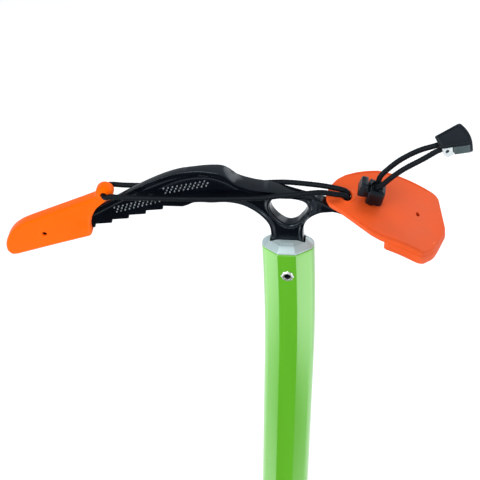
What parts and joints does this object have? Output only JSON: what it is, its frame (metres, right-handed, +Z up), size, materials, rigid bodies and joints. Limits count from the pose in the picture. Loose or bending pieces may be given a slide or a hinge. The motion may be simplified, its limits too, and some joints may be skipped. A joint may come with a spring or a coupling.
{
  "type": "ice axe with head guards",
  "caption": "Ice axe with a forged pick-and-adze head on a bent octagonal shaft, wearing pick and adze guards tied by shock cord and a sprung cord lock.",
  "frame": {"origin": "centre of the small flat at the tip of the spike, on the axis of the straight part of the shaft", "axes": "+Z up the shaft, +X towards the adze, -X towards the pick, +Y to the far side"},
  "size_m": [0.2772, 0.0593, 0.5355],
  "materials": {
    "black_steel": "semi-gloss black coating on forged steel",
    "green_aluminium": "satin green anodising",
    "bare_aluminium": "machined, bright",
    "filler_plastic": "moulded",
    "rivet_steel": "plated",
    "spring_steel": "drawn wire",
    "orange_plastic": "satin moulded",
    "orange_rubber": "satin moulded, soft",
    "black_cord": "braided sheath",
    "black_plastic": "satin moulded",
    "slate_plastic": "fine grained",
    "grey_plastic": "satin moulded",
    "white_plastic": "smooth moulded"
  },
  "bodies": {
    "axe": {"head": "black_steel", "shaft_tube": "green_aluminium", "shaft_collar": "bare_aluminium", "tang_filler_near": "filler_plastic", "tang_filler_far": "filler_plastic", "head_rivet": "rivet_steel", "spike": "black_steel", "spike_filler_near": "filler_plastic", "spike_filler_far": "filler_plastic", "spike_rivet": "rivet_steel"},
    "pick_guard": {"pick_guard": "orange_plastic"},
    "adze_guard": {"adze_guard": "orange_rubber", "shock_cord": "black_cord"},
    "cord_lock": {"cord_lock_body": "black_plastic", "cord_lock_spring": "spring_steel"},
    "cord_lock_button": {"cord_lock_button": "black_plastic"},
    "pull_tab": {"pull_tab_shell": "slate_plastic", "pull_tab_insert": "white_plastic"},
    "pull_tab_clip": {"pull_tab_clip": "grey_plastic"}
  },
  "joints": [
    {"name": "pick_guard_slide", "type": "slide", "parent": "axe", "child": "pick_guard", "axis": [-0.891, 0, -0.454], "range_m": [0, 0.06], "stiffness_N_per_m": 60, "deforming": ["shock_cord"]},
    {"name": "adze_guard_swing", "type": "hinge", "parent": "axe", "child": "adze_guard", "pos_m": [0.02727, 0, 0.39115], "axis": [0, 1, 0], "range_deg": [0, 25], "stiffness_Nm_per_rad": 0.55, "deforming": ["shock_cord"]},
    {"name": "cord_lock_slide", "type": "slide", "parent": "adze_guard", "child": "cord_lock", "axis": [0.1908, 0, 0.9816], "range_m": [0, 0.014], "deforming": ["shock_cord"]},
    {"name": "cord_lock_press", "type": "slide", "parent": "cord_lock", "child": "cord_lock_button", "axis": [0.9816, 0, -0.1908], "range_m": [0, 0.0016], "stiffness_N_per_m": 60, "deforming": ["cord_lock_spring"]},
    {"name": "pull_tab_swing", "type": "hinge", "parent": "adze_guard", "child": "pull_tab", "pos_m": [0.04733, 0, 0.49646], "axis": [0, 1, 0], "range_deg": [-30, 25], "stiffness_Nm_per_rad": 0.05, "deforming": ["shock_cord"]},
    {"name": "pull_tab_clip_hinge", "type": "hinge", "parent": "pull_tab", "child": "pull_tab_clip", "pos_m": [0.09677, 0.00667, 0.53365], "axis": [0.3746, -0.9272, 0], "range_deg": [0, 60]}
  ]
}
